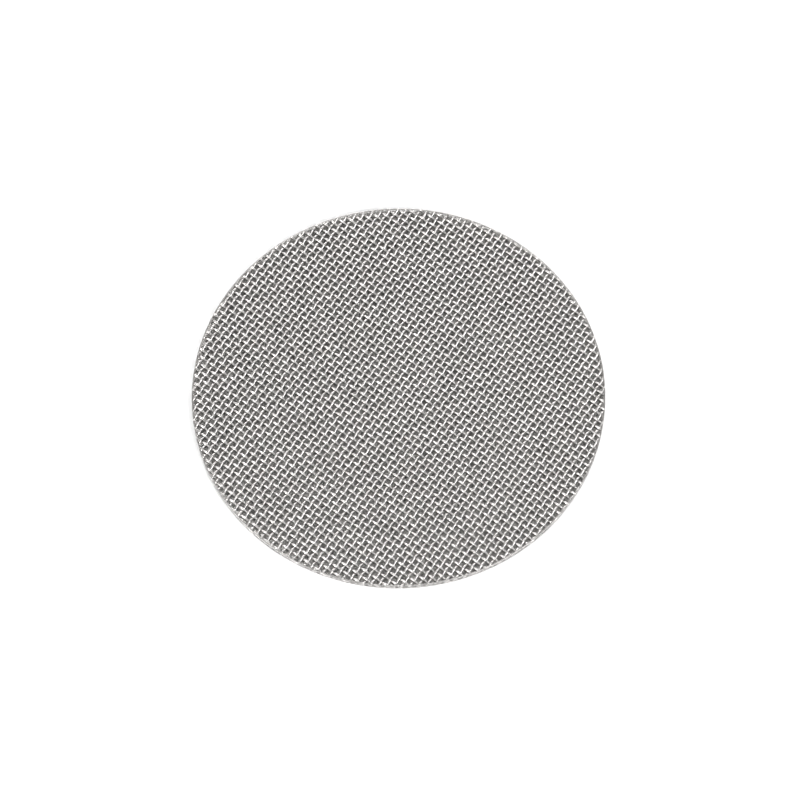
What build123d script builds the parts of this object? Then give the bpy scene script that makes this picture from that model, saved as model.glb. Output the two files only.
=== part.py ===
from build123d import *
import math
import os

# Puck screen: a disc of two woven wire cloths, bonded where they touch and cut in one stroke.
# Millimetres. Origin at the centre of the underside, +Z towards the coarse cloth.

# Cut disc
disc_diameter = 53.5
cut_edge = 0.2  # least width along the cut where the sheared wire ends are smeared together

# Coarse upper cloth, a plain weave of about 30 wires to the inch
coarse_pitch = 0.84
coarse_wire = 0.28
coarse_crest = 0.14  # width of a wire's back that the bonding press flattens
coarse_core = 0.24  # wall between the wires of the two faces, where they cross

# Fine lower cloth, a plain weave of about 100 wires to the inch
fine_pitch = 0.252
fine_wire = 0.11
fine_crest = 0.06
fine_core = 0.16  # the wall here reaches up to the bonded face

# Gaps through both cloths: a block of cells in so many each way, because a cloth has thousands of cells
gap_step = 5
cells_per_gap = 2
closed_border = 4.0  # no gap has its centre nearer to the cut edge than this

radius = disc_diameter / 2
fine_thickness = 2 * fine_wire
coarse_thickness = 2 * coarse_wire
bond_plane = fine_thickness

coarse_depth = (coarse_thickness - coarse_core) / 2
coarse_taper = math.degrees(math.atan2((coarse_wire - coarse_crest) / 2, coarse_depth))

fine_depth = fine_thickness - fine_core
fine_taper = math.degrees(math.atan2((fine_wire - fine_crest) / 2, fine_depth))

gap_pitch = gap_step * coarse_pitch
gap = cells_per_gap * coarse_pitch - coarse_wire


def channel_runs(pitch):
    """The channels between neighbouring wires, as (distance from the centre, length).

    Each runs over as many whole cells as the disc holds inside its cut edge.
    """
    reach = radius - cut_edge
    rows = math.floor(reach / pitch - 0.5)
    runs = []
    for row in range(-rows, rows + 1):
        outer_wire = (abs(row) + 0.5) * pitch
        cells_each_way = math.floor(math.sqrt(reach**2 - outer_wire**2) / pitch - 0.5)
        if cells_each_way >= 0:
            runs.append((row * pitch, (2 * cells_each_way + 1) * pitch))
    return runs


def gap_centres():
    """Centres of the gaps. Each is on a crossing of two coarse wires, with cells all round it."""
    reach = math.ceil(radius / gap_pitch)
    rows = [gap_pitch * (row + 0.5) for row in range(-reach, reach)]
    centres = [(x, y) for x in rows for y in rows]
    return [(x, y) for x, y in centres if math.hypot(x, y) < radius - closed_border]


def between_gaps(y, width):
    """True if a strip along X, centred at y, runs between the rows of gaps."""
    from_nearest_row = abs(y % gap_pitch - gap_pitch / 2)
    return from_nearest_row > (gap + width) / 2


# One face of the coarse cloth, half its thickness, with the wires below as ridges along Y
coarse_half = coarse_thickness / 2
coarse_mouth = coarse_pitch - coarse_crest

with BuildPart() as coarse_face:
    with BuildSketch(Plane.XY.offset(-coarse_half)):
        Circle(radius)
    extrude(amount=coarse_half)
    with BuildSketch(Plane.XY.offset(-coarse_half)):
        add(
            [
                Pos(x, 0) * Rectangle(coarse_mouth, run - coarse_crest, mode=Mode.PRIVATE)
                for x, run in channel_runs(coarse_pitch)
            ]
        )
    extrude(amount=coarse_depth, taper=coarse_taper, mode=Mode.SUBTRACT)

# Coarse cloth: both faces are alike, but the wires of the upper one cross those of the lower one
with BuildPart() as support_mesh:
    with Locations((0, 0, bond_plane + coarse_half)):
        add(coarse_face.part)
        add(coarse_face.part, rotation=(180, 0, 90))
    with BuildSketch(Plane.XY.offset(bond_plane)):
        with Locations(gap_centres()):
            Rectangle(gap, gap)
    extrude(amount=coarse_thickness, mode=Mode.SUBTRACT)
support_mesh.part.label = "support_mesh"

# Fine cloth: ridges along X on the underside, plain along the rows of gaps, and a flat bonded face above
fine_mouth = fine_pitch - fine_crest

with BuildPart() as filter_mesh:
    with BuildSketch(Plane.XY):
        Circle(radius)
    extrude(amount=fine_thickness)
    with BuildSketch(Plane.XY):
        add(
            [
                Pos(0, y) * Rectangle(run - fine_crest, fine_mouth, mode=Mode.PRIVATE)
                for y, run in channel_runs(fine_pitch)
                if between_gaps(y, fine_mouth)
            ]
        )
    extrude(amount=fine_depth, taper=fine_taper, mode=Mode.SUBTRACT)
    with BuildSketch(Plane.XY):
        with Locations(gap_centres()):
            Rectangle(gap, gap)
    extrude(amount=fine_thickness, mode=Mode.SUBTRACT)
filter_mesh.part.label = "filter_mesh"

os.makedirs("parts", exist_ok=True)
export_step(support_mesh.part, "parts/support_mesh.step")
export_step(filter_mesh.part, "parts/filter_mesh.step")
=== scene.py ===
import math
import random
from dataclasses import dataclass

import bpy
import numpy as np
from mathutils import Matrix, Vector


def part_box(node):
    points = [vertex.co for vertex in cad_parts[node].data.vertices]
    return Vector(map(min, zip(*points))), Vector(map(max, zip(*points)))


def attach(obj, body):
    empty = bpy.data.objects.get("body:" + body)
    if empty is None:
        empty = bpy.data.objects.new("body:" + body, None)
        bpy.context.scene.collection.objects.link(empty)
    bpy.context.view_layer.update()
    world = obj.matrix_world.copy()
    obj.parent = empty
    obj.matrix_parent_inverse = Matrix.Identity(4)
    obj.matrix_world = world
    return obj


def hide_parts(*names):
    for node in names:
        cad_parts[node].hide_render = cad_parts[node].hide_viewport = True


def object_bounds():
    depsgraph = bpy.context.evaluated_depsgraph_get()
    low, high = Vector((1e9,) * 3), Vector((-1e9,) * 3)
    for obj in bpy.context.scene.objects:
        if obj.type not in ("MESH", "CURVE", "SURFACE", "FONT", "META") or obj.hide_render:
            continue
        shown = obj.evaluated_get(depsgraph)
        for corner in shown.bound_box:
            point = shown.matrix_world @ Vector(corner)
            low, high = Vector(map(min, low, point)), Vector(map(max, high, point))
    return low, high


# Puck screen: two woven wire cloths, bonded and cut to a disc, that lies flat on a white table.
# Metres, in the row frame. The coarse cloth is on top, and its weft runs along X.

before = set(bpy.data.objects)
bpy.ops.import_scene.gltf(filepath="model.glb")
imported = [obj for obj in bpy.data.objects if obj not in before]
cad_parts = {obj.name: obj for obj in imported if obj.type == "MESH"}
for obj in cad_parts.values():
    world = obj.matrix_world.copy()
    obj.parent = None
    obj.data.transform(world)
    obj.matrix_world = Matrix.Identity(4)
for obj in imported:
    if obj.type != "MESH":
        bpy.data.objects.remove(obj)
cad_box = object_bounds()

MM = 0.001
DISC_RADIUS = cad_box[1].x
DISC_TOP = cad_box[1].z
FINE_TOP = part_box("filter_mesh")[1].z

CAMERA_AZIMUTH = math.radians(38.13)
CAMERA_ELEVATION = math.radians(66.20)
CAMERA_ROLL = math.radians(-1.573)
CAMERA_DISTANCE = 385.1 * MM
CAMERA_AIM = Vector((0.85 * MM, -0.78 * MM, DISC_TOP))
FOCAL_LENGTH = 134.2  # millimetres, on the usual 36 mm sensor

# Least room between a wire's ring of points and the cut, so that the cut makes no sliver
CUT_MARGIN = 0.01 * MM

# The cut smears the ends of the coarse wires into a bead along the rim
BEAD_WIDTH = 0.20 * MM
BEAD_HEIGHT = 0.20 * MM
BEAD_SIDES = 8
BEAD_STEPS = 240

# How the wires stray in plan: a few long waves along X and a few along Y, each with its own length,
# bearing and phase
DRIFT_WAVES = 3
DRIFT_LENGTHS = (12 * MM, 40 * MM)

# A wire's band in the texture map: the share of its length that each of the two end faces takes, and the
# share of its height that stays free below and above the unrolled wire
END_ROOM = 0.02
SIDE_ROOM = 0.1

# Blotches of tone and gloss a metre: on the wire, and as a speckle where wires are fine or smeared.
# On the fine wires the strong speckle is partly their own tone and partly painted glints and painted shade
# of the fine weave.
WIRE_MOTTLE = 900
SPECKLE_AND_PAINTED_GLINTS = 3000

# Studio: lamps low round the disc and two above it, a plain dark world, and a white table in a white room
LAMP_DISTANCE = 1.0
LAMP_SIZE = 0.45
WORLD_LEVEL = 0.05
ROOM_RADIUS = 2.0
ROOM_HEIGHT = 1.2
ROOM_SIDES = 64


@dataclass
class Cloth:
    """A plain weave. Its lattice has a wire of each set at every whole number of pitches."""

    pitch: float
    wire: float  # diameter of the wire
    sway: float  # how far the wires bend up and down from the middle of the cloth
    middle: float  # height of the middle of the cloth
    turn: float  # angle from X to the weft
    skew: float  # angle by which the warp leans from square
    shift: tuple  # place of the lattice's origin from the disc's centre, in pitches
    stray: tuple  # height of the waves of its drift, along X and along Y
    seeds: tuple  # of these waves
    sides: int  # faces round a wire, a multiple of 4 so that a side line runs along its top
    steps: int  # lengths of wire between two crossings


COARSE_WIRE = 0.28 * MM
coarse = Cloth(
    pitch=0.8372 * MM,
    wire=COARSE_WIRE,
    sway=(DISC_TOP - FINE_TOP - COARSE_WIRE) / 2,
    middle=(DISC_TOP + FINE_TOP) / 2,
    turn=0.0,
    skew=math.radians(1.69),
    shift=(0.700, 0.445),
    stray=(0.019 * MM, 0.054 * MM),
    seeds=(13587, 47663),
    sides=8,
    steps=4,
)

FINE_WIRE = 0.12 * MM
fine = Cloth(
    pitch=0.252 * MM,
    wire=FINE_WIRE,
    sway=(FINE_TOP - FINE_WIRE) / 2,
    middle=FINE_TOP / 2,
    turn=math.radians(0.5),
    skew=math.radians(0.3),
    shift=(0.3, 0.1),
    stray=(0.010 * MM, 0.010 * MM),
    seeds=(8, 9),
    sides=4,
    steps=1,
)


def lattice_axes(cloth):
    """One pitch along the weft, and one along the warp, as plan vectors."""
    weft = np.array((math.cos(cloth.turn), math.sin(cloth.turn)))
    lean = cloth.turn + cloth.skew - math.pi / 2
    warp = np.array((math.cos(lean), math.sin(lean)))
    return weft * cloth.pitch, warp * cloth.pitch


def lattice_reach(cloth):
    """A whole number of pitches that leads from the middle of the lattice well past the disc."""
    return math.ceil(DISC_RADIUS / cloth.pitch) + 2


def drift(cloth, plan):
    """Small smooth shifts of places in plan, because no loom or press keeps wires quite straight."""
    shift = np.zeros_like(plan)
    for axis, (height, seed) in enumerate(zip(cloth.stray, cloth.seeds)):
        draw = random.Random(seed)
        for wave in range(DRIFT_WAVES):
            length = draw.uniform(*DRIFT_LENGTHS)
            bearing = draw.uniform(0, 2 * math.pi)
            phase = draw.uniform(0, 2 * math.pi)
            course = plan @ np.array((math.cos(bearing), math.sin(bearing)))
            shift[:, axis] += height * np.sin(2 * math.pi * course / length + phase)
    return shift


def wire_line(cloth, across_weft, number):
    """Points along a wire's centre line, well past the disc at both ends.

    The warp crosses the weft: across_weft is True for a wire of the warp. The warp is on top of the weft
    where the lattice numbers of the two wires add up to an odd number.
    """
    reach = lattice_reach(cloth)
    along = np.arange(-reach * cloth.steps, reach * cloth.steps + 1) / cloth.steps
    across = np.full(len(along), float(number))
    a, b = (across, along) if across_weft else (along, across)
    weft, warp = lattice_axes(cloth)
    plan = np.outer(a + cloth.shift[0], weft) + np.outer(b + cloth.shift[1], warp)
    side = -1 if across_weft else 1
    height = cloth.middle + side * cloth.sway * np.cos(math.pi * (a + b))
    return np.column_stack((plan + drift(cloth, plan), height))


def tube_rings(line, cloth):
    """Places round a wire, by ring and side line."""
    ahead = np.gradient(line, axis=0)
    ahead /= np.linalg.norm(ahead, axis=1)[:, None]
    level = np.column_stack((-ahead[:, 1], ahead[:, 0], np.zeros(len(line))))
    level /= np.linalg.norm(level, axis=1)[:, None]
    above = np.cross(ahead, level)
    angle = 2 * math.pi * np.arange(cloth.sides) / cloth.sides
    outward = level[:, None] * np.cos(angle)[:, None] + above[:, None] * np.sin(angle)[:, None]
    return line[:, None] + outward * cloth.wire / 2


def cut_point(outside, inside):
    """Where the line between two points crosses the disc's edge. The outer one may lie just inside it."""
    far, near = np.hypot(*outside[:2]), np.hypot(*inside[:2])
    share = max(0.0, (far - DISC_RADIUS) / (far - near))
    point = outside + (inside - outside) * share
    point[:2] *= DISC_RADIUS / np.hypot(*point[:2])
    return point


def trimmed(rings):
    """Cuts a wire's side lines where they leave the disc.

    Returns the places that stay, and the number of each by ring and side line. The rings past the cut
    all have the number of the cut point.
    """
    reach = np.hypot(rings[..., 0], rings[..., 1])
    numbers = np.empty(reach.shape, int)
    places = []
    for line in range(rings.shape[1]):
        kept = np.flatnonzero(reach[:, line] < DISC_RADIUS - CUT_MARGIN)
        first, last = kept[0], kept[-1]
        numbers[:, line] = len(places) + np.clip(np.arange(len(rings)) - first + 1, 0, last - first + 2)
        places.append(cut_point(rings[first - 1, line], rings[first, line]))
        places.extend(rings[first : last + 1, line])
        places.append(cut_point(rings[last + 1, line], rings[last, line]))
    return np.array(places), numbers


def round_faces(numbers):
    """The faces round a wire, and where their corners are in its band of the texture map.

    The band holds the wire unrolled: its length runs from left to right, and its girth from bottom to top.
    """
    rings, sides = numbers.shape
    ring, side = np.divmod(np.arange((rings - 1) * sides), sides)
    corner_ring = ring[:, None] + (0, 0, 1, 1)
    corner_side = side[:, None] + (0, 1, 1, 0)
    quads = numbers[corner_ring, corner_side % sides]
    from_left = END_ROOM + (1 - 2 * END_ROOM) * corner_ring / (rings - 1)
    from_bottom = SIDE_ROOM + (1 - 2 * SIDE_ROOM) * corner_side / sides
    chart = np.stack((from_left, from_bottom), -1)
    first_cut = quads[:, 0] == quads[:, 3]
    second_cut = quads[:, 1] == quads[:, 2]
    faces, corners = [], []
    for chosen, kept in (
        (~first_cut & ~second_cut, [0, 1, 2, 3]),
        (first_cut & ~second_cut, [0, 1, 2]),
        (second_cut & ~first_cut, [0, 1, 3]),
    ):
        faces += quads[chosen][:, kept].tolist()
        corners.append(chart[chosen][:, kept].reshape(-1, 2))
    return faces, np.concatenate(corners)


def end_faces(numbers):
    """The two faces that close a wire, and where their corners are at the ends of its band."""
    angle = 2 * math.pi * np.arange(numbers.shape[1]) / numbers.shape[1]
    outline = np.column_stack((0.4 * END_ROOM * np.cos(angle), 0.4 * np.sin(angle)))
    centres = ((END_ROOM / 2, 0.5), (1 - END_ROOM / 2, 0.5))
    faces = [numbers[0, ::-1].tolist(), numbers[-1].tolist()]
    return faces, np.concatenate([outline + centre for centre in centres])


def wires_inside(cloth, across_weft):
    """The rings of every wire of one set that has its full girth inside the disc somewhere."""
    reach = lattice_reach(cloth)
    wires = []
    for number in range(-reach, reach + 1):
        rings = tube_rings(wire_line(cloth, across_weft, number), cloth)
        inside = np.hypot(rings[..., 0], rings[..., 1]) < DISC_RADIUS - CUT_MARGIN
        if inside.any(axis=0).all():
            wires.append(rings)
    return wires


def metal_piece(name, places, faces, smooth, corners, node, material):
    """One object of the given faces, which stands for the CAD node."""
    mesh = bpy.data.meshes.new(name)
    mesh.from_pydata(places.tolist(), [], faces)
    mesh.polygons.foreach_set("use_smooth", smooth)
    texture_map = mesh.uv_layers.new(name="OFBake")
    texture_map.data.foreach_set("uv", corners.ravel())
    mesh.update()
    mesh.materials.append(material)
    piece = bpy.data.objects.new(name, mesh)
    bpy.context.collection.objects.link(piece)
    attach(piece, "root")
    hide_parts(node)


def wire_piece(name, wires, node, material):
    """Several wires of a set."""
    places, faces, smooth, corners = [], [], [], []
    count = 0
    for band, rings in enumerate(wires):
        points, order = trimmed(rings)
        places.append(points)
        for found, chart, is_round in (
            (*round_faces(order + count), True),
            (*end_faces(order + count), False),
        ):
            faces += found
            smooth += [is_round] * len(found)
            corners.append((chart + (0, band)) / (1, len(wires)))
        count += len(points)
    metal_piece(
        name, np.concatenate(places), faces, smooth, np.concatenate(corners), node, material
    )


def bead_piece(name, height, node, material):
    """The smooth bead along the cut, with its middle at the given height."""
    turn = 2 * math.pi * np.arange(BEAD_STEPS) / BEAD_STEPS
    angle = 2 * math.pi * np.arange(BEAD_SIDES) / BEAD_SIDES
    reach = np.tile(DISC_RADIUS - BEAD_WIDTH / 2 * (1 - np.cos(angle)), BEAD_STEPS)
    rise = np.tile(height + BEAD_HEIGHT / 2 * np.sin(angle), BEAD_STEPS)
    round_rim = np.repeat(turn, BEAD_SIDES)
    places = np.column_stack((reach * np.cos(round_rim), reach * np.sin(round_rim), rise))
    step, side = np.divmod(np.arange(BEAD_STEPS * BEAD_SIDES), BEAD_SIDES)
    corner_step = step[:, None] + (0, 1, 1, 0)
    corner_side = side[:, None] + (0, 0, 1, 1)
    faces = corner_step % BEAD_STEPS * BEAD_SIDES + corner_side % BEAD_SIDES
    corners = np.stack((corner_step / BEAD_STEPS, corner_side / BEAD_SIDES), -1)
    metal_piece(name, places, faces.tolist(), [True] * len(faces), corners, node, material)


def steel(name, base, spread, mottle, roughness):
    """Drawn stainless wire, mottled in tone and in gloss. Its base colour and mottle can also carry
    painted shade and painted glints.
    """
    material = bpy.data.materials.new(name)
    material.use_nodes = True
    nodes, links = material.node_tree.nodes, material.node_tree.links
    shader = nodes["Principled BSDF"]
    shader.inputs["Metallic"].default_value = 1.0
    place = nodes.new("ShaderNodeTexCoord")
    tone = nodes.new("ShaderNodeTexNoise")
    tone.inputs["Scale"].default_value = mottle
    tone.inputs["Detail"].default_value = 4.0
    links.new(place.outputs["Object"], tone.inputs["Vector"])
    ramp = nodes.new("ShaderNodeValToRGB")
    ramp.color_ramp.elements[0].position = 0.3
    ramp.color_ramp.elements[0].color = [c * (1 - spread) for c in base] + [1]
    ramp.color_ramp.elements[1].position = 0.7
    ramp.color_ramp.elements[1].color = [c * (1 + spread) for c in base] + [1]
    links.new(tone.outputs["Fac"], ramp.inputs["Fac"])
    links.new(ramp.outputs["Color"], shader.inputs["Base Color"])
    gloss = nodes.new("ShaderNodeMapRange")
    gloss.inputs["To Min"].default_value = roughness[0]
    gloss.inputs["To Max"].default_value = roughness[1]
    links.new(tone.outputs["Fac"], gloss.inputs["Value"])
    links.new(gloss.outputs["Result"], shader.inputs["Roughness"])
    return material


def seen_rays(nodes, links):
    """A value of 1 for the rays that show the background: camera, glossy and transmission rays."""
    path = nodes.new("ShaderNodeLightPath")
    either = nodes.new("ShaderNodeMath")
    either.operation = "MAXIMUM"
    links.new(path.outputs["Is Camera Ray"], either.inputs[0])
    links.new(path.outputs["Is Glossy Ray"], either.inputs[1])
    every = nodes.new("ShaderNodeMath")
    every.operation = "MAXIMUM"
    links.new(either.outputs[0], every.inputs[0])
    links.new(path.outputs["Is Transmission Ray"], every.inputs[1])
    return every.outputs[0]


def plain_world(level):
    """A plain dark sky over the studio."""
    world = bpy.data.worlds.new("studio")
    world.use_nodes = True
    background = world.node_tree.nodes["Background"]
    background.inputs["Color"].default_value = (1, 1, 1, 1)
    background.inputs["Strength"].default_value = level
    bpy.context.scene.world = world


def outside_disc(nodes, links):
    """A value of 1 where the floor isn't under the disc."""
    place = nodes.new("ShaderNodeTexCoord")
    reach = nodes.new("ShaderNodeVectorMath")
    reach.operation = "LENGTH"
    links.new(place.outputs["Object"], reach.inputs[0])
    past_rim = nodes.new("ShaderNodeMath")
    past_rim.operation = "GREATER_THAN"
    past_rim.inputs[1].default_value = DISC_RADIUS
    links.new(reach.outputs["Value"], past_rim.inputs[0])
    return past_rim.outputs[0]


def white_surface(name, glow):
    """Matt white that also glows where it is seen, but not under the disc."""
    material = bpy.data.materials.new(name)
    material.use_nodes = True
    nodes, links = material.node_tree.nodes, material.node_tree.links
    shader = nodes["Principled BSDF"]
    shader.inputs["Base Color"].default_value = (0.85, 0.85, 0.85, 1)
    shader.inputs["Roughness"].default_value = 1.0
    shader.inputs["Specular IOR Level"].default_value = 0.0
    shader.inputs["Emission Color"].default_value = (1, 1, 1, 1)
    seen = nodes.new("ShaderNodeMath")
    seen.operation = "MULTIPLY"
    links.new(seen_rays(nodes, links), seen.inputs[0])
    links.new(outside_disc(nodes, links), seen.inputs[1])
    level = nodes.new("ShaderNodeMath")
    level.operation = "MULTIPLY"
    level.inputs[1].default_value = glow
    links.new(seen.outputs[0], level.inputs[0])
    links.new(level.outputs[0], shader.inputs["Emission Strength"])
    return material


def stage_piece(name, places, faces, material):
    """A piece of the studio, which is no part of the object."""
    mesh = bpy.data.meshes.new(name)
    mesh.from_pydata(places, [], faces)
    mesh.materials.append(material)
    piece = bpy.data.objects.new(name, mesh)
    bpy.context.collection.objects.link(piece)


def white_room(table_glow, wall_glow):
    """A round white table top, which keeps the disc's shadow, and a low white wall far round it."""
    turns = [2 * math.pi * side / ROOM_SIDES for side in range(ROOM_SIDES)]
    edge = [(ROOM_RADIUS * math.cos(turn), ROOM_RADIUS * math.sin(turn)) for turn in turns]
    low = [(x, y, 0) for x, y in edge]
    high = [(x, y, ROOM_HEIGHT) for x, y in edge]
    panels = [
        (side, (side + 1) % ROOM_SIDES, (side + 1) % ROOM_SIDES + ROOM_SIDES, side + ROOM_SIDES)
        for side in range(ROOM_SIDES)
    ]
    stage_piece("table", low, [range(ROOM_SIDES)], white_surface("white_table", table_glow))
    stage_piece("wall", low + high, panels, white_surface("white_wall", wall_glow))


def away(azimuth, elevation):
    return Vector((
        math.sin(azimuth) * math.cos(elevation),
        -math.cos(azimuth) * math.cos(elevation),
        math.sin(elevation),
    ))


def softbox(name, azimuth, elevation, brightness):
    """A square area lamp that faces the disc. White has a brightness of 1.

    The azimuth is from the camera's side of the disc, towards the right of the picture.
    """
    lamp = bpy.data.lights.new(name, "AREA")
    lamp.size = LAMP_SIZE
    lamp.energy = brightness * math.pi * LAMP_SIZE**2
    holder = bpy.data.objects.new(name, lamp)
    direction = away(CAMERA_AZIMUTH + math.radians(azimuth), math.radians(elevation))
    holder.location = direction * LAMP_DISTANCE
    holder.rotation_mode = "QUATERNION"
    holder.rotation_quaternion = direction.to_track_quat("Z", "Y")
    bpy.context.collection.objects.link(holder)


def photo_camera():
    """The camera of the photograph, which stands above the disc and looks down at it."""
    data = bpy.data.cameras.new("photo_camera")
    data.lens = FOCAL_LENGTH
    data.clip_start, data.clip_end = 0.01, 10.0
    camera = bpy.data.objects.new("photo_camera", data)
    camera.matrix_world = (
        Matrix.Translation(CAMERA_AIM)
        @ Matrix.Rotation(CAMERA_AZIMUTH, 4, "Z")
        @ Matrix.Rotation(math.pi / 2 - CAMERA_ELEVATION, 4, "X")
        @ Matrix.Rotation(CAMERA_ROLL, 4, "Z")
        @ Matrix.Translation((0, 0, CAMERA_DISTANCE))
    )
    bpy.context.collection.objects.link(camera)
    bpy.context.scene.camera = camera


photo_camera()

bright_steel = steel("bright_steel", (0.605, 0.59, 0.578), 0.12, WIRE_MOTTLE, (0.25, 0.40))
# Fine cloth: the same steel as the coarse cloth, painted darker as painted shade under the coarse cloth,
# with a strong speckle that is partly the wires' own tone and partly painted glints and painted shade.
fine_steel_with_painted_shade = steel("fine_steel_with_painted_shade", (0.505, 0.49, 0.475), 0.40, SPECKLE_AND_PAINTED_GLINTS, (0.15, 0.40))
rim_steel = steel("rim_steel", (0.38, 0.37, 0.36), 0.30, SPECKLE_AND_PAINTED_GLINTS, (0.35, 0.55))

for cloth_name, cloth, node, slot, material in (
    ("coarse", coarse, "support_mesh", "coarse_wire", bright_steel),
    ("fine", fine, "filter_mesh", "fine_wire", fine_steel_with_painted_shade),
):
    for set_name, across_weft in (("warp", True), ("weft", False)):
        wires = wires_inside(cloth, across_weft)
        middle = len(wires) // 2
        for part_name, part in (("near", wires[:middle]), ("far", wires[middle:])):
            wire_piece(f"{cloth_name}_{set_name}_{part_name}", part, node, material)

bead_piece("coarse_rim", DISC_TOP - COARSE_WIRE / 2, "support_mesh", rim_steel)

plain_world(WORLD_LEVEL)
white_room(table_glow=0.3, wall_glow=1.0)
softbox("window_lamp", azimuth=45, elevation=38, brightness=11.5)
softbox("left_lamp", azimuth=300, elevation=10, brightness=16.0)
softbox("far_right_lamp", azimuth=150, elevation=10, brightness=4.8)
softbox("far_lamp", azimuth=180, elevation=10, brightness=9.2)
softbox("far_left_lamp", azimuth=210, elevation=10, brightness=2.6)
softbox("ceiling_lamp", azimuth=0, elevation=90, brightness=3.6)

bpy.context.scene.view_settings.view_transform = "Standard"
